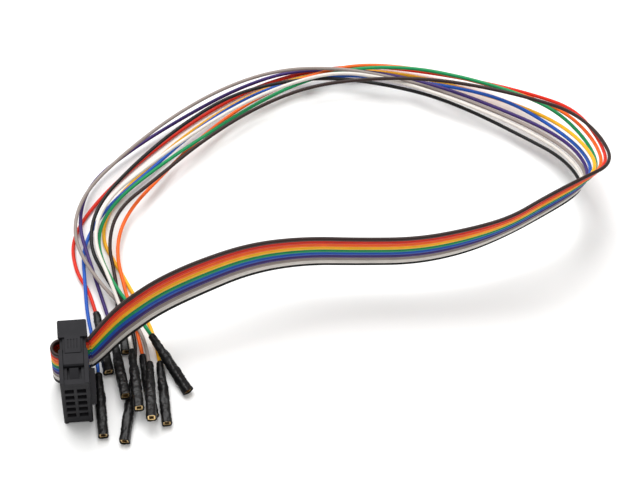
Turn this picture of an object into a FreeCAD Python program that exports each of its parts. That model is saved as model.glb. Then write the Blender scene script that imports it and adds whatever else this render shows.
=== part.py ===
"""Probe lead set of a logic analyzer: a two-by-five socket on a ribbon that splits into ten probes.

Connector coordinates, in mm: X is the socket's width, Y runs from the mating face (Y = 0) towards the
strain relief, and Z runs up the socket's length. The socket stands on one end, at Z = 0.
"""
import FreeCAD, Part
import math
import os

V = FreeCAD.Vector
UP = V(0, 0, 1)

# ---- Driving dimensions: pin grid and cable ----
colours = ["brown", "red", "orange", "yellow", "green", "blue", "violet", "grey", "white", "black"]
pin_rows = 2
pin_pitch = 2.54
wire_diameter = 0.8
web_thickness = 0.25
cable_clearance = 0.04

# ---- Driving dimensions: socket connector ----
body_width = 6.1
body_depth = 8.3
body_end = 3.52           # from the last pins to the end of the body
edge_chamfer = 0.25
face_gap = 0.4            # between two mouldings that hold the ribbon
mouth_width = 1.85        # opening for a pin, across the socket
mouth_height = 1.45       # and along it
mouth_lip = 0.12
mouth_depth = 1.1
cavity_width = 0.9        # across X, for the pin
beam_room = 0.1           # on each outer side of a contact's beams
bridge_room = 0.3         # behind a contact's bridge
key_width = 4.2
key_start = 0.5           # from the mating face
key_length = 6.7
key_reach = 1.1
key_slope = 0.3
channel_depth = 0.95      # end channel for the latch arms
channel_play = 0.1        # on each side of an arm
channel_floor = 1.2       # from the mating face
lip_recess = 0.4          # the strip in front of the channel lies this far below the corner rails
window_width = 3.0        # deeper window in front of the latch arm
window_depth = 1.7
ramp_width = 1.9
ramp_height = 1.1
ramp_gap = 0.3            # from the window's front and back

# ---- Driving dimensions: cable cover and strain relief ----
cover_width = 5.4
cover_thickness = 3.1
arm_width = 4.2
arm_foot = 4.3            # Y of the arm's free end
arm_block = 2.9           # length of the arm's thick foot
arm_clearance = 0.05
arm_chamfer = 0.3
arm_root = 0.5            # the arm reaches this far into the bar
clip_thickness = 3.0
leg_width = 3.3
leg_thickness = 0.4
leg_gap = 0.15            # between the arm's foot and the leg's free end
shoulder_length = 1.1     # of the full-width cap, before it narrows to the leg
rib_count = 4
rib_pitch = 0.62
rib_depth = 0.14
rib_width = 0.26
rib_length = 2.3
rib_margin = 0.95         # from the leg's free end to the grip grooves
thumb_recess = 0.5
thumb_radius = 2.4

# ---- Driving dimensions: fork contacts ----
plate_thickness = 0.3
beam_tip = 1.4            # Y of the beams' free ends
beam_outer = 0.8          # half width across both beams
beam_inner = 0.5
pin_grip = 0.31           # half gap where the beams grip a pin
beam_flare = 0.15         # the beams open this much at their free ends
flare_length = 0.5
grip_length = 1.2         # from the free ends to the full gap
nose_length = 0.8         # the outside of the beams tapers over this length
bridge_start = 5.2
bridge_end = 6.4
head_half = 0.5
slit_half = 0.16
slit_depth = 1.1          # from the ribbon's plane towards the body
tine_reach = 0.95         # from the ribbon's plane into the cover
tine_point = 0.3          # length of the tines' slanted ends
slit_flare = 0.12         # the slit opens this much at its mouth
slit_flare_length = 0.25

# ---- Driving dimensions: probe ends ----
sleeve_length = 15.2
sleeve_wall = 0.2
crimp_start = 5.0
crimp_length = 2.8
crimp_radius = 0.66
neck_length = 0.8         # from the crimped barrel to the box
box_side = 1.6
box_hole = 1.0
box_wall = 0.4            # behind the hole
neck_radius = 0.61        # where the neck leaves the barrel
box_chamfer = 0.2
box_mouth_inset = 0.25    # from the sleeve's end
taper_lead = 0.8          # the sleeve widens from this far before the barrel
taper_lag = 0.4           # to this far before the barrel's end
lead_in = 4.6             # straight wire behind a sleeve
fit_clearance = 0.02

# ---- Places that follow from the sizes ----
ways = len(colours)
pin_columns = ways // pin_rows
wire_pitch = pin_pitch / pin_rows
wire_radius = wire_diameter / 2
body_length = (pin_columns - 1) * pin_pitch + 2 * body_end
middle_z = body_length / 2
cavity_length = 2 * (beam_outer + beam_room)
cavity_depth = bridge_end + bridge_room
channel_width = arm_width + 2 * channel_play
lower_plane = body_depth + face_gap / 2
cover_start = body_depth + face_gap
cover_end = cover_start + cover_thickness
upper_plane = cover_end + face_gap / 2
clip_start = cover_end + face_gap
total_depth = clip_start + clip_thickness
shoulder_end = clip_start - shoulder_length
leg_end = arm_foot + arm_block + leg_gap
rib_start = leg_end + rib_margin
crimp_end = crimp_start + crimp_length
box_start = crimp_end + neck_length
neck_end = crimp_start - taper_lead
taper_end = crimp_end - taper_lag
sleeve_neck_radius = crimp_radius + fit_clearance + sleeve_wall
sleeve_radius = math.hypot(box_side / 2, box_side / 2 - box_chamfer) + fit_clearance + sleeve_wall
fold_centre = V(-cover_width / 2, (lower_plane + upper_plane) / 2, 0)
fold_radius = (upper_plane - lower_plane) / 2
band_half_thick = wire_radius * math.cos(math.radians(30))
fold_reach = cover_width / 2 + fold_radius + band_half_thick - body_width / 2
cable_exit = body_width / 2 + 0.3
to_frame = V((fold_reach - key_reach) / 2, -total_depth / 2, 0)

# Middle line of the bonded ribbon, chosen by hand.
ribbon_route = [
    (cable_exit, upper_plane, middle_z), (5.0, 12.3, 8.8), (6.7, 14.7, 9.3), (9.0, 17.0, 10.1),
    (12.4, 18.9, 11.2), (18.6, 21.9, 13.2), (27.3, 24.6, 15.2), (38.5, 28.0, 16.0),
    (50.0, 29.4, 15.3), (62.0, 28.9, 14.2), (74.0, 28.1, 14.2), (85.0, 28.9, 15.6),
    (94.0, 30.6, 17.6), (101.5, 33.6, 19.6),
]

# Each loose wire between the split and its probe, chosen by hand.
wire_routes = {
    "brown": [(110.3, 36.9, 25.0), (117.8, 41.4, 23.0), (117.0, 51.6, 18.5), (112.8, 62.1, 13.0),
        (105.5, 68.9, 9.0), (94.9, 74.9, 6.4), (83.5, 78.0, 6.4), (69.8, 79.3, 6.4), (55.4, 78.5, 6.0),
        (42.0, 73.5, 5.2), (30.0, 65.5, 5.2), (19.5, 56.5, 5.2), (11.0, 50.0, 4.6), (8.4, 42.5, 2.8)],
    "red": [(109.9, 37.0, 24.0), (117.0, 41.9, 21.6), (116.8, 52.4, 16.5), (113.7, 64.3, 10.9),
        (105.4, 72.8, 5.5), (94.4, 79.5, 2.2), (82.8, 83.7, 1.2), (68.7, 87.1, 0.7), (54.5, 86.2, 0.6),
        (42.0, 82.2, 0.6), (29.0, 74.6, 0.6), (17.0, 65.2, 0.6), (6.5, 55.0, 0.6), (0.4, 45.5, 0.7),
        (1.0, 36.5, 1.0)],
    "orange": [(109.9, 37.1, 22.8), (116.3, 42.5, 20.0), (116.1, 53.5, 14.6), (111.9, 65.4, 8.6),
        (103.8, 72.5, 5.6), (92.8, 78.7, 3.9), (80.4, 83.8, 2.9), (67.0, 86.0, 2.9), (55.0, 83.2, 2.9),
        (42.5, 77.8, 2.9), (30.5, 68.8, 2.75), (21.0, 59.0, 2.75), (13.0, 50.2, 2.7), (9.9, 41.5, 2.2),
        (11.4, 31.0, 1.5)],
    "yellow": [(109.6, 37.4, 21.5), (115.4, 43.5, 18.2), (114.1, 53.9, 12.6), (109.6, 64.0, 7.0),
        (101.3, 72.3, 3.0), (90.7, 78.6, 1.2), (79.6, 83.4, 0.7), (66.0, 86.2, 0.6), (54.0, 84.9, 0.6),
        (42.5, 80.9, 0.6), (30.0, 73.2, 0.6), (19.0, 63.8, 0.6), (9.5, 54.0, 0.6), (6.8, 45.0, 0.6),
        (10.2, 37.5, 0.55), (14.6, 27.0, 0.6)],
    "green": [(109.6, 37.8, 20.2), (115.8, 44.0, 16.6), (115.3, 55.2, 11.4), (110.0, 66.3, 8.0),
        (101.7, 72.8, 6.6), (90.7, 78.7, 5.4), (79.2, 83.2, 4.2), (66.1, 84.7, 3.2), (53.5, 81.8, 2.9),
        (41.5, 75.6, 2.9), (31.0, 68.0, 3.9), (20.5, 60.6, 4.3), (9.5, 52.0, 3.4), (5.6, 43.0, 2.9),
        (8.6, 32.0, 3.6)],
    "blue": [(109.5, 38.0, 19.0), (114.7, 44.3, 15.2), (114.0, 54.2, 9.8), (108.3, 64.0, 6.0),
        (99.9, 72.7, 3.9), (89.1, 78.5, 1.9), (77.1, 81.7, 1.4), (65.0, 84.0, 1.75), (53.0, 83.4, 1.75),
        (41.5, 79.4, 1.75), (29.5, 71.4, 1.75), (18.5, 61.2, 1.75), (8.5, 52.5, 1.75), (2.8, 43.0, 1.5),
        (2.9, 33.5, 2.3), (3.0, 25.5, 1.6), (3.9, 19.5, 1.2)],
    "violet": [(109.5, 38.4, 17.6), (114.2, 44.4, 13.8), (113.1, 54.7, 8.8), (107.3, 63.2, 5.6),
        (98.2, 70.4, 3.8), (87.7, 77.1, 2.9), (76.0, 82.4, 2.5), (64.5, 85.4, 1.75), (52.0, 86.0, 1.75),
        (40.0, 82.2, 1.75), (27.5, 75.4, 1.75), (15.0, 67.4, 1.75), (5.0, 59.0, 1.75), (2.0, 48.5, 2.4),
        (4.2, 38.0, 2.7), (6.8, 27.5, 1.3)],
    "grey": [(109.4, 38.8, 16.2), (114.0, 44.9, 12.4), (112.2, 54.6, 7.8), (105.5, 63.1, 5.2),
        (95.9, 70.1, 4.4), (85.3, 76.4, 4.05), (73.9, 81.2, 4.05), (62.5, 84.4, 4.05),
        (50.0, 85.0, 4.05), (38.0, 81.6, 4.05), (26.0, 75.0, 4.05), (14.0, 65.6, 4.05),
        (3.5, 55.0, 4.05), (0.6, 44.0, 4.0), (5.2, 33.0, 3.8), (11.6, 24.5, 3.7)],
    "white": [(109.4, 39.2, 14.8), (113.5, 45.0, 11.0), (111.3, 55.1, 6.4), (104.0, 63.2, 4.4),
        (94.2, 69.5, 4.8), (84.1, 75.0, 5.1), (73.5, 79.9, 5.1), (62.5, 82.6, 5.2), (51.5, 80.2, 5.2),
        (40.5, 75.6, 5.2), (29.5, 68.8, 5.2), (18.5, 60.6, 5.2), (8.6, 52.4, 5.2), (5.0, 42.5, 5.2),
        (8.4, 31.5, 5.2), (10.2, 25.0, 4.5)],
    "black": [(109.4, 39.4, 13.4), (113.2, 45.3, 9.4), (110.2, 55.7, 4.8), (102.3, 63.2, 3.0),
        (92.3, 70.4, 3.2), (82.9, 75.6, 3.6), (72.6, 79.1, 4.0), (61.5, 81.8, 4.05), (50.0, 81.6, 4.05),
        (38.0, 78.8, 4.05), (26.5, 71.6, 4.05), (15.0, 61.6, 4.05), (6.4, 51.6, 4.05), (4.2, 42.0, 3.6),
        (7.2, 34.2, 2.8), (10.9, 26.8, 2.7), (12.9, 19.3, 1.9)],
}

# Each probe: where its sleeve starts, and a point that its open end faces, chosen by hand.
probe_axes = {
    "brown": ((9.8, 30.7, 1.25), (10.9, 15.6, 1.25)),
    "red": ((4.9, 26.0, 1.25), (6.9, 10.95, 1.25)),
    "orange": ((14.3, 14.7, 1.25), (15.8, -0.4, 1.25)),
    "yellow": ((17.9, 12.7, 1.25), (18.5, -2.5, 1.25)),
    "green": ((16.4, 18.1, 3.7), (23.5, 4.8, 1.25)),
    "blue": ((4.7, 10.9, 1.25), (5.0, -4.3, 1.25)),
    "violet": ((8.4, 18.4, 1.3), (10.2, 3.4, 3.7)),
    "grey": ((15.7, 11.9, 2.75), (15.3, -3.1, 5.35)),
    "white": ((12.1, 15.1, 3.0), (12.85, 0.0, 4.4)),
    "black": ((12.0, 8.9, 1.25), (9.3, -6.1, 1.25)),
}


# ---- Geometry helpers ----
def box(x0, x1, y0, y1, z0, z1):
    """A block between two corners."""
    return Part.makeBox(x1 - x0, y1 - y0, z1 - z0, V(x0, y0, z0))


def prism(points, direction):
    """A closed outline pushed along a direction."""
    outline = Part.makePolygon([V(*p) for p in points] + [V(*points[0])])
    return Part.Face(outline).extrude(direction)


def chamfered_block(x0, x1, y0, y1, z0, z1, size):
    """A moulded block: the four edges that run up Z are chamfered."""
    block = box(x0, x1, y0, y1, z0, z1)
    upright = [e for e in block.Edges if abs(e.tangentAt(e.FirstParameter).z) > 0.99]
    return block.makeChamfer(size, upright)


def wire_z(index):
    """Height of one wire across the ribbon, brown at the top."""
    return middle_z + ((ways - 1) / 2 - index) * wire_pitch


def contact_places():
    """For each wire: X of its row, Z of its pin and Z of the wire itself."""
    places = []
    for index in range(ways):
        pair, row = divmod(index, pin_rows)
        x = (row - (pin_rows - 1) / 2) * pin_pitch
        pin_z = middle_z + ((pin_columns - 1) / 2 - pair) * pin_pitch
        places.append((x, pin_z, wire_z(index)))
    return places


# ---- Cable ----
def rounded_path(points):
    """Straight runs joined by tangent arcs, each as large as its two runs allow, and the arcs' radii."""
    corners = [V(*p) for p in points]
    edges, radii, here = [], [], corners[0]
    for before, corner, after in zip(corners, corners[1:], corners[2:]):
        come, go = corner - before, after - corner
        cut = 0.45 * min(come.Length, go.Length)
        half_turn = come.getAngle(go) / 2
        radius = cut / math.tan(half_turn)
        come.normalize()
        go.normalize()
        start, end = corner - come * cut, corner + go * cut
        inward = (go - come).normalize()
        middle = corner + inward * (radius / math.cos(half_turn) - radius)
        edges.append(Part.LineSegment(here, start).toShape())
        edges.append(Part.Arc(start, middle, end).toShape())
        radii.append(radius)
        here = end
    edges.append(Part.LineSegment(here, corners[-1]).toShape())
    return Part.Wire(edges), radii


def wire_section(centre, direction):
    """Six-sided outline of one insulated wire, square to its path."""
    side = direction.cross(UP).normalize()
    rise = side.cross(direction).normalize()
    corners = []
    for step in range(6):
        angle = math.radians(90 + 60 * step)
        spoke = side * math.cos(angle) + rise * math.sin(angle)
        corners.append(centre + spoke * wire_radius)
    return Part.Face(Part.makePolygon(corners + corners[:1]))


def report_tube(name, path, radii, section, solid):
    """Print a tube's length, tightest bends and how its volume compares with section times length."""
    share = solid.Volume / (section.Area * path.Length)
    bends = ", ".join(f"{r:.1f}" for r in radii)
    print(f"{name}: {path.Length:.1f} mm, volume share {share:.3f}, radii {bends}")


def probe_axis(colour):
    """Where a sleeve starts, and the direction in which its open end faces."""
    start, ahead = (V(*p) for p in probe_axes[colour])
    return start, (ahead - start).normalize()


def loose_wire(index, colour):
    """One wire from the split to its crimp socket."""
    split = V(*ribbon_route[-1]) + UP * (wire_z(index) - middle_z)
    start, axis = probe_axis(colour)
    points = [split] + [V(*p) for p in wire_routes[colour]]
    points += [start - axis * lead_in, start + axis * crimp_start]
    path, radii = rounded_path(points)
    section = wire_section(points[0], points[1] - points[0])
    solid = path.makePipe(section)
    report_tube("wire_" + colour, path, radii, section, solid)
    return solid


def ribbon_cable():
    """The bonded stretch, as a flat band on edge."""
    path, radii = rounded_path(ribbon_route)
    half_width = (ways - 1) / 2 * wire_pitch + wire_radius
    start = V(*ribbon_route[0])
    corners = [
        start + V(0, band_half_thick, half_width), start + V(0, band_half_thick, -half_width),
        start + V(0, -band_half_thick, -half_width), start + V(0, -band_half_thick, half_width),
    ]
    outline = Part.makePolygon(corners + corners[:1])
    sweep = Part.BRepOffsetAPI.MakePipeShell(path)
    sweep.setBiNormalMode(UP)
    sweep.add(outline)
    sweep.build()
    sweep.makeSolid()
    solid = sweep.shape()
    report_tube("ribbon_cable", path, radii, Part.Face(outline), solid)
    return solid


def ribbon_outline(extra):
    """Outline of the ribbon's section in the Y and Z directions, about Y = 0: ten wires joined by webs."""
    corner = wire_radius + extra
    flat = corner * math.cos(math.radians(30))
    web = web_thickness / 2 + extra
    root = corner - web * (corner / 2) / flat
    right = []
    for index in reversed(range(ways)):
        z = wire_z(index)
        right += [(web, z - root), (flat, z - corner / 2), (flat, z + corner / 2), (web, z + root)]
    bottom = (0, wire_z(ways - 1) - corner)
    top = (0, wire_z(0) + corner)
    left = [(-y, z) for y, z in reversed(right)]
    return [bottom] + right[1:-1] + [top] + left[1:-1]


def folded_ribbon(extra, run_out):
    """The ribbon as the connector holds it: in, round the cover's edge, and back out."""
    outline = ribbon_outline(extra)
    turn_x = fold_centre.x
    lower = [V(turn_x, lower_plane + y, z) for y, z in outline]
    upper = [V(turn_x, upper_plane - y, z) for y, z in outline]
    lower_face = Part.Face(Part.makePolygon(lower + lower[:1]))
    upper_face = Part.Face(Part.makePolygon(upper + upper[:1]))
    first_pass = lower_face.extrude(V(body_width / 2 + run_out - turn_x, 0, 0))
    second_pass = upper_face.extrude(V(cable_exit + run_out - turn_x, 0, 0))
    bend = lower_face.revolve(fold_centre, UP, -180)
    return bend.fuse([first_pass, second_pass]).removeSplitter()


# ---- Connector ----
def fork_contact(x, pin_z, cable_z):
    """One stamped contact: two beams that grip a pin, and two tines that straddle a wire."""
    tine_end = lower_plane + tine_reach
    throat = beam_tip + flare_length
    beams = [
        (bridge_start, -beam_inner), (beam_tip + grip_length, -beam_inner), (throat, -pin_grip),
        (beam_tip, -pin_grip - beam_flare), (beam_tip, -beam_outer + beam_flare),
        (beam_tip + nose_length, -beam_outer), (bridge_end, -beam_outer),
    ]
    tines = [
        (bridge_end, -head_half), (tine_end - tine_point, -head_half), (tine_end, -slit_half - slit_flare),
        (tine_end - slit_flare_length, -slit_half), (lower_plane - slit_depth, -slit_half),
    ]
    below = [(y, pin_z + z) for y, z in beams] + [(y, cable_z + z) for y, z in tines]
    above = [(y, cable_z - z) for y, z in reversed(tines)] + [(y, pin_z - z) for y, z in reversed(beams)]
    outline = below + above
    back = x - plate_thickness / 2
    return prism([(back, y, z) for y, z in outline], V(plate_thickness, 0, 0))


def contact_slots(extra):
    """Room for the contacts in the mouldings: a cavity for the beams and a slot for the tines."""
    rooms = []
    half_slot = plate_thickness / 2 + extra
    slot_end = lower_plane + tine_reach + 2 * extra
    half = cavity_length / 2
    for x, pin_z, cable_z in contact_places():
        rooms.append(box(x - cavity_width / 2, x + cavity_width / 2, mouth_depth, cavity_depth,
                         pin_z - half, pin_z + half))
        rooms.append(box(x - half_slot, x + half_slot, bridge_end - extra, slot_end,
                         cable_z - head_half - extra, cable_z + head_half + extra))
    return rooms


def pin_mouths():
    """Openings in the mating face, each with a chamfered lip."""
    mouths = []
    turns = [(-1, -1), (1, -1), (1, 1), (-1, 1)]
    for x, pin_z, _ in contact_places():
        rings = []
        for depth, spread in ((0, mouth_lip), (mouth_lip, 0)):
            wide, high = mouth_width / 2 + spread, mouth_height / 2 + spread
            ring = [V(x + i * wide, depth, pin_z + j * high) for i, j in turns]
            rings.append(Part.makePolygon(ring + ring[:1]))
        mouths.append(Part.makeLoft(rings, True))
        wide, high = mouth_width / 2, mouth_height / 2
        mouths.append(box(x - wide, x + wide, 0, mouth_depth, pin_z - high, pin_z + high))
    return mouths


def socket_body(pocket):
    """The moulded body: block, polarising key, pin mouths, contact cavities and latch channels."""
    half = body_width / 2
    body = chamfered_block(-half, half, 0, body_depth, 0, body_length, edge_chamfer)
    key_half, crest_half = key_width / 2, key_width / 2 - key_slope
    outline = [(half, middle_z - key_half), (half + key_reach, middle_z - crest_half),
               (half + key_reach, middle_z + crest_half), (half, middle_z + key_half)]
    key = prism([(x, key_start, z) for x, z in outline], V(0, key_length, 0))
    body = body.fuse(key).removeSplitter()
    cuts = pin_mouths() + contact_slots(cable_clearance) + [pocket]
    for end, inward in ((0, 1), (body_length, -1)):
        for half_width, start, stop, depth in (
                (channel_width / 2, 0, channel_floor, lip_recess),
                (channel_width / 2, channel_floor, body_depth, channel_depth),
                (window_width / 2, channel_floor, arm_foot, window_depth)):
            low, high = sorted((end, end + inward * depth))
            cuts.append(box(-half_width, half_width, start, stop, low, high))
    body = body.cut(cuts)
    for end, inward in ((0, 1), (body_length, -1)):
        floor = end + inward * window_depth
        front, back = channel_floor + ramp_gap, arm_foot - ramp_gap
        ramp = [(front, floor), (back, floor), (back, floor - inward * ramp_height)]
        body = body.fuse(prism([(-ramp_width / 2, y, z) for y, z in ramp], V(ramp_width, 0, 0)))
    return body.removeSplitter()


def cable_cover(pocket):
    """The bar that presses the ribbon onto the contacts, with an arm at each end."""
    half = cover_width / 2
    inset = channel_depth + arm_clearance
    top = body_length - inset
    cover = chamfered_block(-half, half, cover_start, cover_end, inset, top, edge_chamfer)
    for end, inward in ((0, 1), (body_length, -1)):
        outer, thin = end, end + inward * (leg_thickness + arm_clearance)
        inner = end + inward * (channel_depth - arm_clearance)
        foot_end = arm_foot + arm_block
        low, high = sorted((outer, inner))
        foot = box(-arm_width / 2, arm_width / 2, arm_foot, foot_end, low, high)
        corner = V(0, arm_foot, outer)
        tip = [e for e in foot.Edges if e.CenterOfMass.isEqual(corner, 1e-6)]
        foot = foot.makeChamfer(arm_chamfer, tip)
        low, high = sorted((thin, inner))
        shank = box(-arm_width / 2, arm_width / 2, foot_end, cover_end, low, high)
        low, high = sorted((inner, end + inward * (inset + arm_root)))
        root = box(-arm_width / 2, arm_width / 2, cover_start, cover_end, low, high)
        cover = cover.fuse([foot, shank, root])
    return cover.removeSplitter().cut([pocket] + contact_slots(cable_clearance)).removeSplitter()


def strain_relief(pocket):
    """The clip on the back of the cover: a grooved bar with a ribbed leg at each end."""
    half = body_width / 2
    clip = chamfered_block(-half, half, clip_start, total_depth, 0, body_length, edge_chamfer)
    for end, inward in ((0, 1), (body_length, -1)):
        low, high = sorted((end, end + inward * leg_thickness))
        cap = box(-half, half, shoulder_end, clip_start + edge_chamfer, low, high)
        leg = box(-leg_width / 2, leg_width / 2, leg_end, clip_start + edge_chamfer, low, high)
        clip = clip.fuse([cap, leg])
        low, high = sorted((end, end + inward * rib_depth))
        for rib in range(rib_count):
            x = (rib - (rib_count - 1) / 2) * rib_pitch
            left, right = x - rib_width / 2, x + rib_width / 2
            clip = clip.cut(box(left, right, rib_start, rib_start + rib_length, low, high))
    scoop_middle = V(-half, total_depth + thumb_radius - thumb_recess, middle_z)
    scoop = Part.makeCylinder(thumb_radius, body_width, scoop_middle, V(1, 0, 0))
    return clip.cut([pocket, scoop]).removeSplitter()


# ---- Probe ends, built along Z with the sleeve's start at the origin ----
def box_outline(side, z):
    """A square with chamfered corners at one height."""
    half, inner = side / 2, side / 2 - box_chamfer
    corners = [(half, -inner), (half, inner), (inner, half), (-inner, half),
               (-half, inner), (-half, -inner), (-inner, -half), (inner, -half)]
    points = [V(x, y, z) for x, y in corners]
    return Part.makePolygon(points + points[:1])


def crimp_socket():
    """A stamped socket: a square box open at the front, a neck, and a crimped barrel."""
    mouth = sleeve_length - box_mouth_inset
    square = Part.Face(box_outline(box_side, box_start)).extrude(V(0, 0, mouth - box_start))
    neck_ends = [box_outline(2 * neck_radius, crimp_end), box_outline(box_side, box_start)]
    neck = Part.makeLoft(neck_ends, True)
    barrel = Part.makeCylinder(crimp_radius, crimp_end - crimp_start, V(0, 0, crimp_start))
    half = box_hole / 2
    hole = box(-half, half, -half, half, box_start + box_wall, mouth)
    return barrel.fuse([neck, square]).removeSplitter().cut(hole)


def heat_shrink():
    """A shrunk sleeve: narrow on the wire, wide on the socket's box."""
    profile = [
        (0, 0), (sleeve_neck_radius, 0), (sleeve_neck_radius, neck_end),
        (sleeve_radius, taper_end), (sleeve_radius, sleeve_length), (0, sleeve_length),
    ]
    outline = Part.makePolygon([V(r, 0, z) for r, z in profile] + [V(0, 0, 0)])
    outside = Part.Face(outline).revolve(V(0, 0, 0), UP, 360)
    wire_bore = Part.makeCylinder(wire_radius + fit_clearance, crimp_start)
    barrel_radius = crimp_radius + fit_clearance
    barrel_room = Part.makeCylinder(barrel_radius, crimp_end - crimp_start, V(0, 0, crimp_start))
    room_side = box_side + 2 * fit_clearance
    neck_ends = [box_outline(2 * barrel_radius, crimp_end), box_outline(room_side, box_start)]
    neck_room = Part.makeLoft(neck_ends, True)
    box_room = Part.Face(box_outline(room_side, box_start)).extrude(V(0, 0, sleeve_length - box_start))
    return outside.cut([wire_bore, barrel_room, neck_room, box_room])


def on_probe_axis(shape, colour):
    """Turn and move a probe piece onto its place."""
    start, axis = probe_axis(colour)
    placed = shape.copy()
    placed.Placement = FreeCAD.Placement(start, FreeCAD.Rotation(UP, axis))
    return placed


# ---- Assembly: one STEP file per node ----
def build():
    """All pieces by name, in connector coordinates."""
    contacts = [fork_contact(*place) for place in contact_places()]
    pocket = folded_ribbon(cable_clearance, 1.0)
    nodes = {
        "socket_body": socket_body(pocket),
        "cable_cover": cable_cover(pocket),
        "strain_relief": strain_relief(pocket),
        "idc_contacts": Part.makeCompound(contacts),
        "ribbon_fold": folded_ribbon(0, 0).cut(contacts),
        "ribbon_cable": ribbon_cable(),
    }
    socket, sleeve = crimp_socket(), heat_shrink()
    for index, colour in enumerate(colours):
        nodes["wire_" + colour] = loose_wire(index, colour)
        nodes["probe_" + colour] = on_probe_axis(socket, colour)
        nodes["sleeve_" + colour] = on_probe_axis(sleeve, colour)
    return nodes


os.makedirs("parts", exist_ok=True)
for name, shape in build().items():
    placed = shape.copy()
    placed.translate(to_frame)
    placed.exportStep(f"parts/{name}.step")
    print(f"{name}: {len(placed.Solids)} solid(s), {placed.Volume:.1f} mm3")
print(f"moved by {to_frame}")
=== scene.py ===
# %% [markdown]
# # A probe lead set for a logic analyzer
# The real object is a ten-way rainbow ribbon cable. One end is pressed into a two-by-five socket with
# a clip-on strain relief. Past the flat stretch the ribbon is split into ten loose wires, and each one
# ends in a crimped socket under a black heat-shrink sleeve.
# The moulded pieces and the stamped metal come from the CAD frame. This lesson gives them their
# finishes, lays the wires as smooth curves, and models the sleeves, the fold and the web of the ribbon.

# %% Load the frame
import itertools
import math

import bpy
from mathutils import Matrix, Vector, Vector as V
from mathutils import noise


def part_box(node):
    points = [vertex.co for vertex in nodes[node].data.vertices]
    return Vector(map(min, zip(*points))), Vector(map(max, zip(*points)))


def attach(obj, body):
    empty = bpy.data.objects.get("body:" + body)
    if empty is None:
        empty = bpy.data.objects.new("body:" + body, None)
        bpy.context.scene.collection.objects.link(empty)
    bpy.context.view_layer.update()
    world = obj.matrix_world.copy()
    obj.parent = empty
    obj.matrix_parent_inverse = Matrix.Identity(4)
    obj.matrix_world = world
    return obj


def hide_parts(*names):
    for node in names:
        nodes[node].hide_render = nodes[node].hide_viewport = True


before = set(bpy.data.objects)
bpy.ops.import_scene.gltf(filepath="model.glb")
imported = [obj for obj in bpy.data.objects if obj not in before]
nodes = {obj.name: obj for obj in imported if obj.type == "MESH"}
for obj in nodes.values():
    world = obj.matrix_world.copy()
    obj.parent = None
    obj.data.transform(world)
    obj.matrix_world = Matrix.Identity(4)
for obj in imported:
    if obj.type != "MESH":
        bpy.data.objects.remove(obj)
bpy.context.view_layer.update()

lead_body = "lead_set"

# %% [markdown]
# ## Places
# All places are in millimetres from the foot of the socket's mating face, midway across it: X across the
# socket's width, Y back from the face, and Z up from the end that it stands on. The frame knows where
# the socket is, so one function turns such a place into a point of the scene.

# %% One point to measure from
MM = 0.001
socket_width = 6.1
socket_low, socket_high = (V(end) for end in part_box("socket_body"))
foot = socket_low + V((socket_width / 2 * MM, 0, 0))


def place(x, y, z):
    """A point of the scene from millimetres off the foot of the mating face."""
    return foot + V((x, y, z)) * MM


print("socket from", tuple(round(v, 4) for v in socket_low), "to", tuple(round(v, 4) for v in socket_high))

# %% [markdown]
# ## The camera
# A long lens looks down on the table from the front, turned a little to the left, as for a shop picture.

# %% Camera
camera_place = place(15.4, -282.5, 523.0)
camera_right = V((0.9957, -0.0909, 0.0189)).normalized()
camera_ahead = V((0.0640, 0.5253, -0.8485)).normalized()
camera_up = camera_right.cross(camera_ahead)
camera_data = bpy.data.cameras.new("camera")
camera_data.lens = 157.5
camera_data.clip_start = 0.01
camera = bpy.data.objects.new("camera", camera_data)
turn = Matrix((camera_right, camera_up, -camera_ahead)).transposed().to_4x4()
camera.matrix_world = Matrix.Translation(camera_place) @ turn
bpy.context.scene.collection.objects.link(camera)
bpy.context.scene.camera = camera
print("camera at", tuple(round(v, 3) for v in camera_place), "with a lens of", camera_data.lens, "mm")

# %% [markdown]
# ## Building materials
# Every material below is a small graph of nodes. These four functions keep each graph short to write.

# %% Material helpers
def linear(hex_colour):
    """An sRGB hex colour as the linear values that Blender's sockets take."""
    channels = [int(hex_colour[i:i + 2], 16) / 255 for i in (0, 2, 4)]
    return [c / 12.92 if c <= 0.04045 else ((c + 0.055) / 1.055) ** 2.4 for c in channels] + [1.0]


def add(material, kind, settings=None, **links):
    """One node with its settings, its inputs linked by name with _ for a space."""
    node = material.node_tree.nodes.new(kind)
    for name, value in (settings or {}).items():
        if name in node.inputs:
            node.inputs[name].default_value = value
        else:
            setattr(node, name, value)
    for name, source in links.items():
        material.node_tree.links.new(source, node.inputs[name.replace("_", " ")])
    return node


def empty_material(name):
    """A material with only its output, ready for nodes."""
    material = bpy.data.materials.new(name)
    material.use_nodes = True
    material.node_tree.nodes.clear()
    return material


def finish_material(material, shader):
    """The shader goes to the output."""
    add(material, "ShaderNodeOutputMaterial", Surface=shader.outputs[0])
    return material


print("mid grey in linear light is", round(linear("808080")[0], 3))

# %% [markdown]
# ## Table and light
# The table is a plain pale sheet. A wide soft light stands above and behind the cable, so the shadows
# fall softly towards the viewer, and a dim even light fills them.

# %% Table
bpy.ops.object.select_all(action="DESELECT")
bpy.ops.mesh.primitive_plane_add(size=6, location=(0, 0, 0))
table = bpy.context.object
table.name = "table"
paper = empty_material("table paper")
finish_material(paper, add(paper, "ShaderNodeBsdfPrincipled",
                           {"Base Color": linear("f4f4f3"), "Roughness": 0.9, "Specular IOR Level": 0.1}))
table.data.materials.append(paper)
print("table is", tuple(round(v, 1) for v in table.dimensions[:2]), "m")

# %% Light
loop_middle = place(50, 40, 0)


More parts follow.
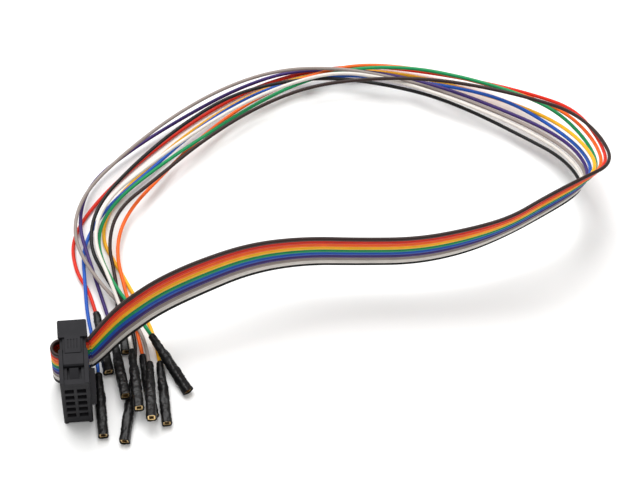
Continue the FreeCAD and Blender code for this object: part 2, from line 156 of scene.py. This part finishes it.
def light(name, offset, size, energy):
    """A square soft light that faces the middle of the loop."""
    data = bpy.data.lights.new(name, "AREA")
    data.size = size
    data.energy = energy
    lamp = bpy.data.objects.new(name, data)
    lamp.location = loop_middle + V(offset)
    lamp.rotation_euler = (-V(offset)).to_track_quat("-Z", "Y").to_euler()
    bpy.context.scene.collection.objects.link(lamp)
    print(name, "light gives", energy, "W")


light("window", (-0.12, 0.42, 0.95), size=0.8, energy=14)
light("fill", (0.5, -0.7, 1.0), size=1.2, energy=2)
world = bpy.data.worlds.new("world")
world.use_nodes = True
world.node_tree.nodes["Background"].inputs["Color"].default_value = (1, 1, 1, 1)
world.node_tree.nodes["Background"].inputs["Strength"].default_value = 0.5
bpy.context.scene.world = world
bpy.context.scene.view_settings.view_transform = "Standard"

# %% [markdown]
# ## Where the wires lie
# The ribbon is one band whose ten wires keep their order, brown at the top. Past the split each wire
# has its own way, over and under its neighbours, back to the sleeves beside the socket. The points are
# the control points of smooth curves, so the wires cut inside each corner as soft vinyl does.

# %% Routes
colours = ["brown", "red", "orange", "yellow", "green", "blue", "violet", "grey", "white", "black"]
wire_pitch = 1.27
wire_diameter = 0.8
cable_exit = 3.35
upper_plane = 12.0
lower_plane = 8.5
ribbon_middle = 8.6
# Middle line of the flat ribbon, from the clip to the split.
ribbon_route = [
    (cable_exit, upper_plane, ribbon_middle), (4.3, 12.6, 9.0), (6.5, 14.6, 9.5), (9.2, 16.9, 10.2),
    (12.4, 18.9, 11.2), (18.6, 21.9, 13.2), (27.3, 24.6, 15.2), (38.5, 28.0, 16.0),
    (50.0, 29.4, 15.3), (62.0, 28.9, 14.2), (74.0, 28.1, 14.2), (85.0, 28.9, 15.6),
    (94.0, 30.6, 17.6), (101.5, 33.6, 19.6),
]

# %% Loose wires
# Each wire from the split to its sleeve.
wire_routes = {
    "brown": [(110.3, 36.9, 25.0), (117.8, 41.4, 23.0), (117.0, 51.6, 18.5), (112.8, 62.1, 13.0),
        (105.5, 68.9, 9.0), (94.9, 74.9, 6.4), (83.5, 78.0, 6.4), (69.8, 79.3, 6.4), (55.4, 78.5, 6.0),
        (42.0, 73.5, 5.2), (30.0, 65.5, 5.2), (19.5, 56.5, 5.2), (11.0, 50.0, 4.6), (8.4, 42.5, 2.8)],
    "red": [(109.9, 37.0, 24.0), (117.0, 41.9, 21.6), (116.8, 52.4, 16.5), (113.7, 64.3, 10.9),
        (105.4, 72.8, 5.5), (94.4, 79.5, 2.2), (82.8, 83.7, 1.2), (68.7, 87.1, 0.7), (54.5, 86.2, 0.6),
        (42.0, 82.2, 0.6), (29.0, 74.6, 0.6), (17.0, 65.2, 0.6), (6.5, 55.0, 0.6), (0.4, 45.5, 0.7),
        (1.0, 36.5, 1.0)],
    "orange": [(109.9, 37.1, 22.8), (116.3, 42.5, 20.0), (116.1, 53.5, 14.6), (111.9, 65.4, 8.6),
        (103.8, 72.5, 5.6), (92.8, 78.7, 3.9), (80.4, 83.8, 2.9), (67.0, 86.0, 2.9), (55.0, 83.2, 2.9),
        (42.5, 77.8, 2.9), (30.5, 68.8, 2.75), (21.0, 59.0, 2.75), (13.0, 50.2, 2.7), (9.9, 41.5, 2.2),
        (11.4, 31.0, 1.5)],
    "yellow": [(109.6, 37.4, 21.5), (115.4, 43.5, 18.2), (114.1, 53.9, 12.6), (109.6, 64.0, 7.0),
        (101.3, 72.3, 3.0), (90.7, 78.6, 1.2), (79.6, 83.4, 0.7), (66.0, 86.2, 0.6), (54.0, 84.9, 0.6),
        (42.5, 80.9, 0.6), (30.0, 73.2, 0.6), (19.0, 63.8, 0.6), (9.5, 54.0, 0.6), (6.8, 45.0, 0.6),
        (10.2, 37.5, 0.55), (14.6, 27.0, 0.6)],
    "green": [(109.6, 37.8, 20.2), (115.8, 44.0, 16.6), (115.3, 55.2, 11.4), (110.0, 66.3, 8.0),
        (101.7, 72.8, 6.6), (90.7, 78.7, 5.4), (79.2, 83.2, 4.2), (66.1, 84.7, 3.2), (53.5, 81.8, 2.9),
        (41.5, 75.6, 2.9), (31.0, 68.0, 3.9), (20.5, 60.6, 4.3), (9.5, 52.0, 3.4), (5.6, 43.0, 2.9),
        (8.6, 32.0, 3.6)],
    "blue": [(109.5, 38.0, 19.0), (114.7, 44.3, 15.2), (114.0, 54.2, 9.8), (108.3, 64.0, 6.0),
        (99.9, 72.7, 3.9), (89.1, 78.5, 1.9), (77.1, 81.7, 1.4), (65.0, 84.0, 1.75), (53.0, 83.4, 1.75),
        (41.5, 79.4, 1.75), (29.5, 71.4, 1.75), (18.5, 61.2, 1.75), (8.5, 52.5, 1.75), (2.8, 43.0, 1.5),
        (2.9, 33.5, 2.3), (3.0, 25.5, 1.6), (3.9, 19.5, 1.2)],
    "violet": [(109.5, 38.4, 17.6), (114.2, 44.4, 13.8), (113.1, 54.7, 8.8), (107.3, 63.2, 5.6),
        (98.2, 70.4, 3.8), (87.7, 77.1, 2.9), (76.0, 82.4, 2.5), (64.5, 85.4, 1.75), (52.0, 86.0, 1.75),
        (40.0, 82.2, 1.75), (27.5, 75.4, 1.75), (15.0, 67.4, 1.75), (5.0, 59.0, 1.75), (2.0, 48.5, 2.4),
        (4.2, 38.0, 2.7), (6.8, 27.5, 1.3)],
    "grey": [(109.4, 38.8, 16.2), (114.0, 44.9, 12.4), (112.2, 54.6, 7.8), (105.5, 63.1, 5.2),
        (95.9, 70.1, 4.4), (85.3, 76.4, 4.05), (73.9, 81.2, 4.05), (62.5, 84.4, 4.05),
        (50.0, 85.0, 4.05), (38.0, 81.6, 4.05), (26.0, 75.0, 4.05), (14.0, 65.6, 4.05),
        (3.5, 55.0, 4.05), (0.6, 44.0, 4.0), (5.2, 33.0, 3.8), (11.6, 24.5, 3.7)],
    "white": [(109.4, 39.2, 14.8), (113.5, 45.0, 11.0), (111.3, 55.1, 6.4), (104.0, 63.2, 4.4),
        (94.2, 69.5, 4.8), (84.1, 75.0, 5.1), (73.5, 79.9, 5.1), (62.5, 82.6, 5.2), (51.5, 80.2, 5.2),
        (40.5, 75.6, 5.2), (29.5, 68.8, 5.2), (18.5, 60.6, 5.2), (8.6, 52.4, 5.2), (5.0, 42.5, 5.2),
        (8.4, 31.5, 5.2), (10.2, 25.0, 4.5)],
    "black": [(109.4, 39.4, 13.4), (113.2, 45.3, 9.4), (110.2, 55.7, 4.8), (102.3, 63.2, 3.0),
        (92.3, 70.4, 3.2), (82.9, 75.6, 3.6), (72.6, 79.1, 4.0), (61.5, 81.8, 4.05), (50.0, 81.6, 4.05),
        (38.0, 78.8, 4.05), (26.5, 71.6, 4.05), (15.0, 61.6, 4.05), (6.4, 51.6, 4.05), (4.2, 42.0, 3.6),
        (7.2, 34.2, 2.8), (10.9, 26.8, 2.7), (12.9, 19.3, 1.9)],
}

# %% Probes
# Where each sleeve starts, and a point that its open end faces.
probe_axes = {
    "brown": ((9.8, 30.7, 1.25), (10.9, 15.6, 1.25)),
    "red": ((4.9, 26.0, 1.25), (6.9, 10.95, 1.25)),
    "orange": ((14.3, 14.7, 1.25), (15.8, -0.4, 1.25)),
    "yellow": ((17.9, 12.7, 1.25), (18.5, -2.5, 1.25)),
    "green": ((16.4, 18.1, 3.7), (23.5, 4.8, 1.25)),
    "blue": ((4.7, 10.9, 1.25), (5.0, -4.3, 1.25)),
    "violet": ((8.4, 18.4, 1.3), (10.2, 3.4, 3.7)),
    "grey": ((15.7, 11.9, 2.75), (15.3, -3.1, 5.35)),
    "white": ((12.1, 15.1, 3.0), (12.85, 0.0, 4.4)),
    "black": ((12.0, 8.9, 1.25), (9.3, -6.1, 1.25)),
}

# How far the ribbon's upper edge leans back, in mm per mm of height, at each of the ribbon's points.
ribbon_lean = [0, 0.05, 0.12, 0.14, 0.14, 0.12, 0.1, 0, -0.07, -0.09, -0.09, -0.12, -0.24, -0.2]
print(len(ribbon_route), "points along the ribbon,", sum(map(len, wire_routes.values())), "along the wires")

# %% [markdown]
# ## Soft vinyl
# The insulation is plasticised PVC, coloured through and extruded. It has a soft satin gloss, a faint
# unevenness of tone, and shallow ripples from the die. Each colour gets its own material.

# %% Vinyl in ten colours
vinyl_hex = {
    "brown": "2b1a17", "red": "d2260f", "orange": "ee6216", "yellow": "f2b01a", "green": "0c8a50",
    "blue": "1750ac", "violet": "3a2668", "grey": "8f847e", "white": "dad4cd", "black": "101010",
}
tone_grain = 2.5        # mm
ripple_grain = 0.35     # mm
ripple_height = 0.05    # mm
dark_share = 0.82
light_share = 1.1
least_lift = 0.004      # so that black has a lighter tone too


def vinyl(name, hex_colour):
    """Coloured PVC insulation with a faint mottle and die ripples."""
    material = empty_material(name)
    where = add(material, "ShaderNodeTexCoord").outputs["Object"]
    tone = add(material, "ShaderNodeTexNoise", {"Scale": 1 / (tone_grain * MM), "Detail": 3.0}, Vector=where)
    colour = linear(hex_colour)
    darker = [c * dark_share for c in colour[:3]] + [1.0]
    lighter = [min(1.0, c * light_share + least_lift) for c in colour[:3]] + [1.0]
    tones = add(material, "ShaderNodeValToRGB", Fac=tone.outputs["Fac"])
    tones.color_ramp.elements[0].color = darker
    tones.color_ramp.elements[1].color = lighter
    ripple = add(material, "ShaderNodeTexNoise", {"Scale": 1 / (ripple_grain * MM), "Detail": 2.0},
                 Vector=where)
    bump = add(material, "ShaderNodeBump", {"Strength": 0.12, "Distance": ripple_height * MM},
               Height=ripple.outputs["Fac"])
    shader = add(material, "ShaderNodeBsdfPrincipled",
                 {"Roughness": 0.42, "Specular IOR Level": 0.22},
                 Base_Color=tones.outputs["Color"], Normal=bump.outputs["Normal"])
    return finish_material(material, shader)


vinyls = [vinyl("vinyl " + colour, vinyl_hex[colour]) for colour in colours]
print(len(vinyls), "vinyls, from", vinyls[0].name, "to", vinyls[-1].name)

# %% [markdown]
# ## The ten wires
# A wire is a curve with a round bevel. Its control points are the ribbon's points, each shifted to this
# wire's place across the band, then its own points, and last its sleeve's axis.

# %% Wires
wire_radius = wire_diameter / 2
approach = 4.6       # the wire runs straight for this long before its sleeve
crimp_depth = 5.0    # and this far into the sleeve, to the crimp


def probe_axis(colour):
    """Where the sleeve starts, and the unit direction in which its open end faces."""
    start, ahead = (place(*point) for point in probe_axes[colour])
    return start, (ahead - start).normalized()


def wire_points(index):
    """Control points of one whole wire, from the clip to its crimp."""
    colour = colours[index]
    rise = ((len(colours) - 1) / 2 - index) * wire_pitch
    points = [place(x, y + lean * rise, z + rise) for (x, y, z), lean in zip(ribbon_route, ribbon_lean)]
    points += [place(*point) for point in wire_routes[colour]]
    start, axis = probe_axis(colour)
    return points + [start - axis * approach * MM, start + axis * crimp_depth * MM]


# %% Curves
def smooth_line(name, points, radius):
    """A NURBS curve with a round section. Its points carry the radius, so its box fits it closely."""
    data = bpy.data.curves.new(name, "CURVE")
    data.dimensions = "3D"
    line = data.splines.new("NURBS")
    line.points.add(len(points) - 1)
    for control, point in zip(line.points, points):
        control.co = (*point, 1.0)
        control.radius = radius
    line.order_u = 3
    line.use_endpoint_u = True
    line.resolution_u = 10
    data.bevel_depth = 1.0
    data.bevel_resolution = 5
    data.use_fill_caps = True
    obj = bpy.data.objects.new(name, data)
    bpy.context.scene.collection.objects.link(obj)
    return obj


def line_points(obj):
    """The points along a curve's own line."""
    obj.data.bevel_depth = 0
    bpy.context.view_layer.update()
    mesh = bpy.data.meshes.new_from_object(obj)
    points = [v.co.copy() for v in mesh.vertices]
    bpy.data.meshes.remove(mesh)
    obj.data.bevel_depth = 1.0
    return points


def line_length(points):
    """The length of a chain of points."""
    return sum((b - a).length for a, b in zip(points, points[1:]))


# %% Lay the wires
wire_lines = []
for index, colour in enumerate(colours):
    wire = smooth_line("insulated_wire_" + colour, wire_points(index), wire_radius * MM)
    wire.data.materials.append(vinyls[index])
    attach(wire, lead_body)
    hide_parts("wire_" + colour)
    wire_lines.append(line_points(wire))
    print(colour, "wire is", round(line_length(wire_lines[-1]) * 1000, 1), "mm long")

# %% [markdown]
# ## The web of the ribbon
# In the flat stretch a thin web of the same vinyl joins neighbouring wires. Each strip of web takes its
# two colours from the wires that it joins, and ends where the ribbon was split.

# %% Web
web_thickness = 0.5
split_x = place(*ribbon_route[-1]).x


def web_mesh():
    """Nine strips between neighbouring wires, each in two colours."""
    vertices, faces, slots = [], [], []
    for index in range(len(colours) - 1):
        upper, lower = wire_lines[index], wire_lines[index + 1]
        flat = list(itertools.takewhile(lambda p: p.x <= split_x, upper))
        first = len(vertices)
        for number, here in enumerate(flat):
            there = min(lower, key=lambda q: (q - here).length)
            ahead = flat[min(number + 1, len(flat) - 1)] - flat[max(number - 1, 0)]
            side = ahead.cross(there - here).normalized() * web_thickness / 2 * MM
            for share in (0, 0.5, 1):
                spot = here.lerp(there, share)
                vertices += [spot + side, spot - side]
        for number in range(len(flat) - 1):
            a, b = first + number * 6, first + (number + 1) * 6
            for half in (0, 1):
                u, w = a + 2 * half, b + 2 * half
                faces += [(u, u + 2, w + 2, w), (u + 1, w + 1, w + 3, u + 3)]
                slots += [index + half] * 2
        for a, order in ((first, (0, 1, 3, 2)), (first + (len(flat) - 1) * 6, (0, 2, 3, 1))):
            for half in (0, 1):
                faces.append(tuple(a + 2 * half + k for k in order))
                slots.append(index + half)
    mesh = bpy.data.meshes.new("ribbon_web")
    mesh.from_pydata(vertices, [], faces)
    for polygon, slot_number in zip(mesh.polygons, slots):
        polygon.material_index = slot_number
    return mesh


web = bpy.data.objects.new("ribbon_web", web_mesh())
bpy.context.scene.collection.objects.link(web)
for material in vinyls:
    web.data.materials.append(material)
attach(web, lead_body)
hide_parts("ribbon_cable")
print("web has", len(web.data.polygons), "faces")

# %% [markdown]
# ## The fold
# Inside the socket the ribbon lies on the contacts, turns round the cover's edge, and comes back out
# under the clip. Its section is ten lobes with webs between them. The section is drawn once as a ring
# of points, extruded across the cover, spun half a turn, and extruded out to the exit.

# %% Fold
fold_x = -2.7            # the cover's edge, where the ribbon turns
fold_inner_end = 3.05    # the ribbon's cut end, flush with the socket's side
lobe_steps = 8
fold_steps = 20
crisp_angle = math.radians(35)


def ribbon_outline():
    """(across, up) points round the section of the whole ribbon."""
    half_web = web_thickness / 2
    opening = math.acos(half_web / wire_radius)
    right = []
    for index in range(len(colours)):
        z = ribbon_middle + (index - (len(colours) - 1) / 2) * wire_pitch
        first = -math.pi / 2 if index == 0 else -opening
        last = math.pi / 2 if index == len(colours) - 1 else opening
        for step in range(lobe_steps + 1):
            angle = first + (last - first) * step / lobe_steps
            right.append((wire_radius * math.cos(angle), z + wire_radius * math.sin(angle)))
    left = [(-y, z) for y, z in reversed(right[1:-1])]
    return right + left


def folded_strands():
    """The ribbon inside the socket, as one mesh with its section swept round the cover's edge."""
    outline = ribbon_outline()
    bpy.ops.object.select_all(action="DESELECT")
    bpy.ops.mesh.primitive_circle_add(vertices=len(outline), fill_type="NGON")
    fold = bpy.context.object
    for vertex, (y, z) in zip(fold.data.vertices, outline):
        vertex.co = place(fold_inner_end, lower_plane + y, z)
    bpy.ops.object.mode_set(mode="EDIT")
    bpy.ops.mesh.select_all(action="SELECT")
    across = (fold_x - fold_inner_end) * MM
    bpy.ops.mesh.extrude_region_move(TRANSFORM_OT_translate={"value": (across, 0, 0)})
    centre = place(fold_x, (lower_plane + upper_plane) / 2, ribbon_middle)
    bpy.ops.mesh.spin(steps=fold_steps, angle=math.pi, center=centre, axis=(0, 0, 1))
    out = (cable_exit - fold_x) * MM
    bpy.ops.mesh.extrude_region_move(TRANSFORM_OT_translate={"value": (out, 0, 0)})
    bpy.ops.mesh.select_all(action="SELECT")
    bpy.ops.mesh.normals_make_consistent(inside=False)
    bpy.ops.object.mode_set(mode="OBJECT")
    bpy.ops.object.shade_smooth_by_angle(angle=crisp_angle)
    fold.name = fold.data.name = "folded_strands"
    return fold


# %% Fold the ribbon
fold = folded_strands()
for material in vinyls:
    fold.data.materials.append(material)
top_z = place(0, 0, ribbon_middle + len(colours) / 2 * wire_pitch).z
for polygon in fold.data.polygons:
    row = int((top_z - polygon.center.z) / (wire_pitch * MM))
    polygon.material_index = min(max(row, 0), len(colours) - 1)
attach(fold, lead_body)
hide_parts("ribbon_fold")
print("fold has", len(fold.data.polygons), "faces")

# %% [markdown]
# ## Heat-shrink sleeves
# A sleeve is thin polyolefin tube, shrunk with hot air. It grips the wire at one end and the square
# socket at the other, and it creases where it shrank unevenly. One tube is extruded ring by ring along
# Z. Each copy then gets its own creases, a squarer section over the socket, and a wall.

# %% Sleeve
# (height, radius) up the sleeve, in mm.
sleeve_profile = [(0.0, 0.60), (0.25, 0.76), (1.6, 0.85), (4.2, 0.90), (5.2, 1.05), (6.3, 1.14), (7.4, 1.07),
                  (8.8, 1.08), (10.0, 1.10), (12.6, 1.07), (14.4, 1.09), (15.1, 1.14), (15.2, 1.10)]
ring_step = 0.16
ring_points = 40
sleeve_wall = 0.2
crease_depth = 0.12
fine_crease_depth = 0.085
ridge_depth = 0.05
bow_depth = 0.05
bow_turn = 0.45                  # radians per mm
square_from, square_to = 7.6, 9.4
squareness = 0.75
ragged_from, ragged_depth = 13.5, 0.12
sleeve_end = sleeve_profile[-1][0]
soft_angle = math.radians(50)


def sleeve_blank():
    """A smooth open tube that follows the profile, along Z from the origin."""
    bpy.ops.object.select_all(action="DESELECT")
    bpy.ops.mesh.primitive_circle_add(vertices=ring_points, radius=sleeve_profile[0][1] * MM)
    blank = bpy.context.object
    bpy.ops.object.mode_set(mode="EDIT")
    bpy.ops.mesh.select_all(action="SELECT")
    for (z0, r0), (z1, r1) in zip(sleeve_profile, sleeve_profile[1:]):
        steps = max(1, round((z1 - z0) / ring_step))
        for step in range(steps):
            now, after = (r0 + (r1 - r0) * k / steps for k in (step, step + 1))
            rise = (z1 - z0) / steps * MM
            bpy.ops.mesh.extrude_edges_move(TRANSFORM_OT_translate={"value": (0, 0, rise)})
            bpy.ops.transform.resize(value=(after / now, after / now, 1))
    bpy.ops.mesh.select_all(action="SELECT")
    bpy.ops.mesh.normals_make_consistent(inside=False)
    bpy.ops.object.mode_set(mode="OBJECT")
    return blank


# %% Creases
def crease(point, seed):
    """A point of the blank, moved in or out by this sleeve's creases and squared over the socket."""
    x, y, z = point / MM
    radius, angle = math.hypot(x, y), math.atan2(y, x)
    around = V((math.cos(angle), math.sin(angle), 0))
    long_way = noise.noise(V((around.x * 1.1, around.y * 1.1, z * 0.95)) + V((seed * 7.3, 0, 0)))
    short_way = noise.noise(V((around.x * 1.6, around.y * 1.6, z * 2.6)) + V((0, seed * 5.1, 3)))
    ridge = noise.noise(V((around.x * 3.2, around.y * 3.2, z * 0.5)) + V((0, 4, seed * 2.7)))
    square = min(1, max(0, (z - square_from) / (square_to - square_from)))
    corners = (abs(around.x) ** 4 + abs(around.y) ** 4) ** -0.25
    radius *= 1 + square * (corners - 1) * squareness
    grip = min(1, z)
    radius += grip * (crease_depth * long_way + fine_crease_depth * short_way + ridge_depth * ridge)
    bow = bow_depth * math.sin(z * bow_turn + seed) * grip * (1 - square)
    ragged = max(0, z - ragged_from) / (sleeve_end - ragged_from) * ragged_depth * abs(long_way)
    return V((radius * around.x + bow, radius * around.y, z - ragged)) * MM


# %% Fit a sleeve to its probe
def fitted_sleeve(colour, seed):
    """A creased copy of the blank with a wall, laid along its probe."""
    mesh = blank.data.copy()
    for vertex in mesh.vertices:
        vertex.co = crease(vertex.co, seed)
    sleeve = bpy.data.objects.new("shrunk_sleeve_" + colour, mesh)
    mesh.name = sleeve.name
    bpy.context.scene.collection.objects.link(sleeve)
    bpy.ops.object.select_all(action="DESELECT")
    sleeve.select_set(True)
    bpy.context.view_layer.objects.active = sleeve
    wall = sleeve.modifiers.new("wall", "SOLIDIFY")
    wall.thickness = sleeve_wall * MM
    wall.offset = -1
    bpy.ops.object.modifier_apply(modifier=wall.name)
    start, axis = probe_axis(colour)
    turn = V((0, 0, 1)).rotation_difference(axis).to_matrix().to_4x4()
    sleeve.data.transform(Matrix.Translation(start) @ turn)
    bpy.ops.object.shade_smooth_by_angle(angle=soft_angle)
    return sleeve


print("a sleeve is", sleeve_end, "mm long and up to", 2 * max(r for z, r in sleeve_profile), "mm across")

# %% [markdown]
# ## Shrunk polyolefin
# The sleeves are black, with a soft sheen that catches the light on each crease.

# %% Sleeve finish
crease_grain = 0.6      # mm
crease_height = 0.15    # mm


def shrunk_polyolefin():
    """Black heat-shrink: satin, with a fine leathery bump."""
    material = empty_material("shrunk polyolefin")
    where = add(material, "ShaderNodeTexCoord").outputs["Object"]
    grain = add(material, "ShaderNodeTexNoise", {"Scale": 1 / (crease_grain * MM), "Detail": 4.0},
                Vector=where)
    sheen = add(material, "ShaderNodeMapRange", {"To Min": 0.3, "To Max": 0.5}, Value=grain.outputs["Fac"])
    tones = add(material, "ShaderNodeValToRGB", Fac=grain.outputs["Fac"])
    tones.color_ramp.elements[0].color = linear("060606")
    tones.color_ramp.elements[1].color = linear("141314")
    bump = add(material, "ShaderNodeBump", {"Strength": 0.5, "Distance": crease_height * MM},
               Height=grain.outputs["Fac"])
    shader = add(material, "ShaderNodeBsdfPrincipled", {"Specular IOR Level": 0.25},
                 Base_Color=tones.outputs["Color"], Roughness=sheen.outputs["Result"],
                 Normal=bump.outputs["Normal"])
    return finish_material(material, shader)


# %% Shrink the sleeves
sleeve_black = shrunk_polyolefin()
blank = sleeve_blank()
for index, colour in enumerate(colours):
    sleeve = fitted_sleeve(colour, index + 1)
    sleeve.data.materials.append(sleeve_black)
    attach(sleeve, lead_body)
    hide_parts("sleeve_" + colour)
bpy.data.objects.remove(blank)

# %% [markdown]
# ## Moulded polyester and stamped metal
# The socket, its cover and its clip are glass-filled polyester, moulded in a spark-eroded tool: a dark
# charcoal with a fine even grain, and edges that are never quite sharp. The probe sockets are brass
# strip, stamped and rolled, with faint drawing marks.

# %% Mouldings and metal
cloud_size = 3.0        # mm
grit = 0.09             # mm
grit_height = 0.03      # mm
edge_round = 0.07       # mm
mark_size = 0.5         # mm
strip_edge_round = 0.04  # mm


def moulded_polyester():
    """Charcoal moulding with spark-eroded grain and softened edges."""
    material = empty_material("moulded polyester")
    where = add(material, "ShaderNodeTexCoord").outputs["Object"]
    cloud = add(material, "ShaderNodeTexNoise", {"Scale": 1 / (cloud_size * MM), "Detail": 3.0}, Vector=where)
    tones = add(material, "ShaderNodeValToRGB", Fac=cloud.outputs["Fac"])
    tones.color_ramp.elements[0].color = linear("17171a")
    tones.color_ramp.elements[1].color = linear("2a292c")
    grain = add(material, "ShaderNodeTexNoise", {"Scale": 1 / (grit * MM), "Detail": 2.0}, Vector=where)
    sheen = add(material, "ShaderNodeMapRange", {"To Min": 0.5, "To Max": 0.75}, Value=grain.outputs["Fac"])
    soft = add(material, "ShaderNodeBevel", {"samples": 6, "Radius": edge_round * MM})
    bump = add(material, "ShaderNodeBump", {"Strength": 0.25, "Distance": grit_height * MM},
               Height=grain.outputs["Fac"], Normal=soft.outputs["Normal"])
    shader = add(material, "ShaderNodeBsdfPrincipled", {"Specular IOR Level": 0.14},
                 Base_Color=tones.outputs["Color"], Roughness=sheen.outputs["Result"],
                 Normal=bump.outputs["Normal"])
    return finish_material(material, shader)


def stamped_metal(name, dark_hex, light_hex):
    """Copper-alloy strip with faint drawing marks."""
    material = empty_material(name)
    where = add(material, "ShaderNodeTexCoord").outputs["Object"]
    marks = add(material, "ShaderNodeTexNoise", {"Scale": 1 / (mark_size * MM), "Detail": 4.0}, Vector=where)
    tones = add(material, "ShaderNodeValToRGB", Fac=marks.outputs["Fac"])
    tones.color_ramp.elements[0].color = linear(dark_hex)
    tones.color_ramp.elements[1].color = linear(light_hex)
    sheen = add(material, "ShaderNodeMapRange", {"To Min": 0.2, "To Max": 0.42}, Value=marks.outputs["Fac"])
    soft = add(material, "ShaderNodeBevel", {"samples": 6, "Radius": strip_edge_round * MM})
    shader = add(material, "ShaderNodeBsdfPrincipled", {"Metallic": 1.0},
                 Base_Color=tones.outputs["Color"], Roughness=sheen.outputs["Result"],
                 Normal=soft.outputs["Normal"])
    return finish_material(material, shader)


def give_finish(node_name, material):
    """A CAD node gets one finish all over."""
    slots = nodes[node_name].material_slots
    if not slots:
        nodes[node_name].data.materials.append(material)
    for slot in slots:
        slot.material = material


# %% Finish the CAD pieces
polyester = moulded_polyester()
brass = stamped_metal("stamped brass", "b8935a", "ecd09a")
bronze = stamped_metal("phosphor bronze", "8f6a3e", "c49a66")
for name in ("socket_body", "cable_cover", "strain_relief"):
    give_finish(name, polyester)
give_finish("idc_contacts", bronze)
for colour in colours:
    give_finish("probe_" + colour, brass)
print("finished", polyester.name + ",", brass.name, "and", bronze.name)

# %% [markdown]
# ## Finish
# Each wire's control points are worked out once more, and nothing is kept from them.

# %% The wires once more
for index, colour in enumerate(colours):
    wire_points(index)[0]
